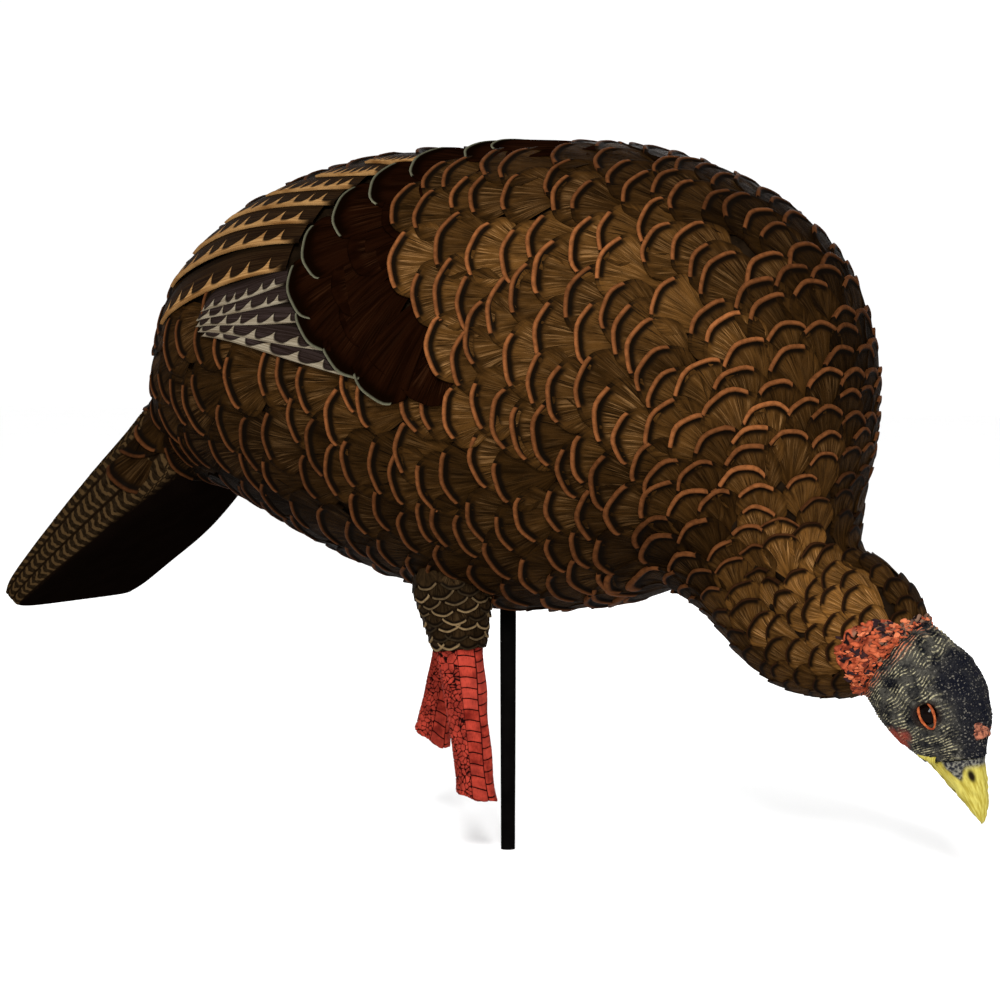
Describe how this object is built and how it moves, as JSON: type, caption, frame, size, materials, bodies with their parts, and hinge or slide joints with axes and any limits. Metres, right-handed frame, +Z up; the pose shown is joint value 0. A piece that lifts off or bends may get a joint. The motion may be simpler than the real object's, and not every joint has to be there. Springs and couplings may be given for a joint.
{
  "type": "turkey decoy",
  "caption": "Hunting decoy of a feeding hen turkey: hollow feathered body on a ground stake, with a swivel, a pull-off turning head and a pull-off tail.",
  "frame": {"origin": "on the stake's axis at the ground line, where the rod ends and the spike enters the soil", "axes": "+X the way the bird faces, +Y its left side, +Z up along the stake"},
  "size_m": [0.7161, 0.2532, 0.5934],
  "materials": {
    "feather_brown": "painted moulded feathers, satin",
    "wing_brown": "painted moulded feathers, satin",
    "thigh_brown": "painted moulded feathers, matt",
    "leg_red": "painted scales, satin",
    "tail_brown": "barred on top and edges, black below",
    "moulded_black": "as moulded",
    "head_grey": "painted wrinkled skin",
    "beak_yellow": "painted horn, satin",
    "eye_black": "clear gloss",
    "snood_red": "painted skin",
    "bearing_white": "acetal, as moulded",
    "oring_black": "matt",
    "stake_black": "black powder coat",
    "steel": "zinc plated",
    "washer_brass": "turned"
  },
  "bodies": {
    "ground_stake": {"ground_spike": "steel"},
    "rod": {"stake_rod": "stake_black", "stake_pin": "steel"},
    "swivel": {"swivel_cap": "bearing_white", "thrust_washer": "washer_brass"},
    "decoy": {"body_shell": "feather_brown", "neck_shell": "feather_brown", "wing_right": "wing_brown", "wing_left": "wing_brown", "thigh_right": "thigh_brown", "thigh_left": "thigh_brown", "leg_right": "leg_red", "leg_left": "leg_red", "tail_socket": "moulded_black", "neck_collar": "moulded_black", "swivel_housing": "moulded_black", "stake_sleeve": "moulded_black", "belly_bushing": "moulded_black", "leg_washer_right": "moulded_black", "leg_washer_left": "moulded_black", "wing_screw_right_front": "steel", "wing_screw_right_rear": "steel", "wing_screw_left_front": "steel", "wing_screw_left_rear": "steel"},
    "neck_plug": {"head_plug": "bearing_white", "head_oring": "oring_black"},
    "head": {"head_shell": "head_grey", "beak_upper": "beak_yellow", "beak_lower": "beak_yellow", "eye_right": "eye_black", "eye_left": "eye_black", "snood": "snood_red"},
    "tail": {"tail_fan": "tail_brown", "tail_plug": "moulded_black"}
  },
  "joints": [
    {"name": "stake_join", "type": "slide", "parent": "ground_stake", "child": "rod", "axis": [0, 0, 1], "range_m": [0, 0.06]},
    {"name": "body_lift", "type": "slide", "parent": "rod", "child": "swivel", "axis": [0, 0, 1], "range_m": [0, 0.21]},
    {"name": "body_swivel", "type": "hinge", "parent": "swivel", "child": "decoy", "pos_m": [0, 0, 0.34], "axis": [0, 0, 1], "range_deg": [-60, 60]},
    {"name": "head_pull", "type": "slide", "parent": "decoy", "child": "neck_plug", "axis": [0.7894, 0, -0.6139], "range_m": [0, 0.045]},
    {"name": "head_turn", "type": "hinge", "parent": "neck_plug", "child": "head", "pos_m": [0.2775, 0, 0.1465], "axis": [0.7894, 0, -0.6139], "range_deg": [-30, 30]},
    {"name": "tail_pull", "type": "slide", "parent": "decoy", "child": "tail", "axis": [-0.8393, 0, -0.5437], "range_m": [0, 0.06]}
  ]
}
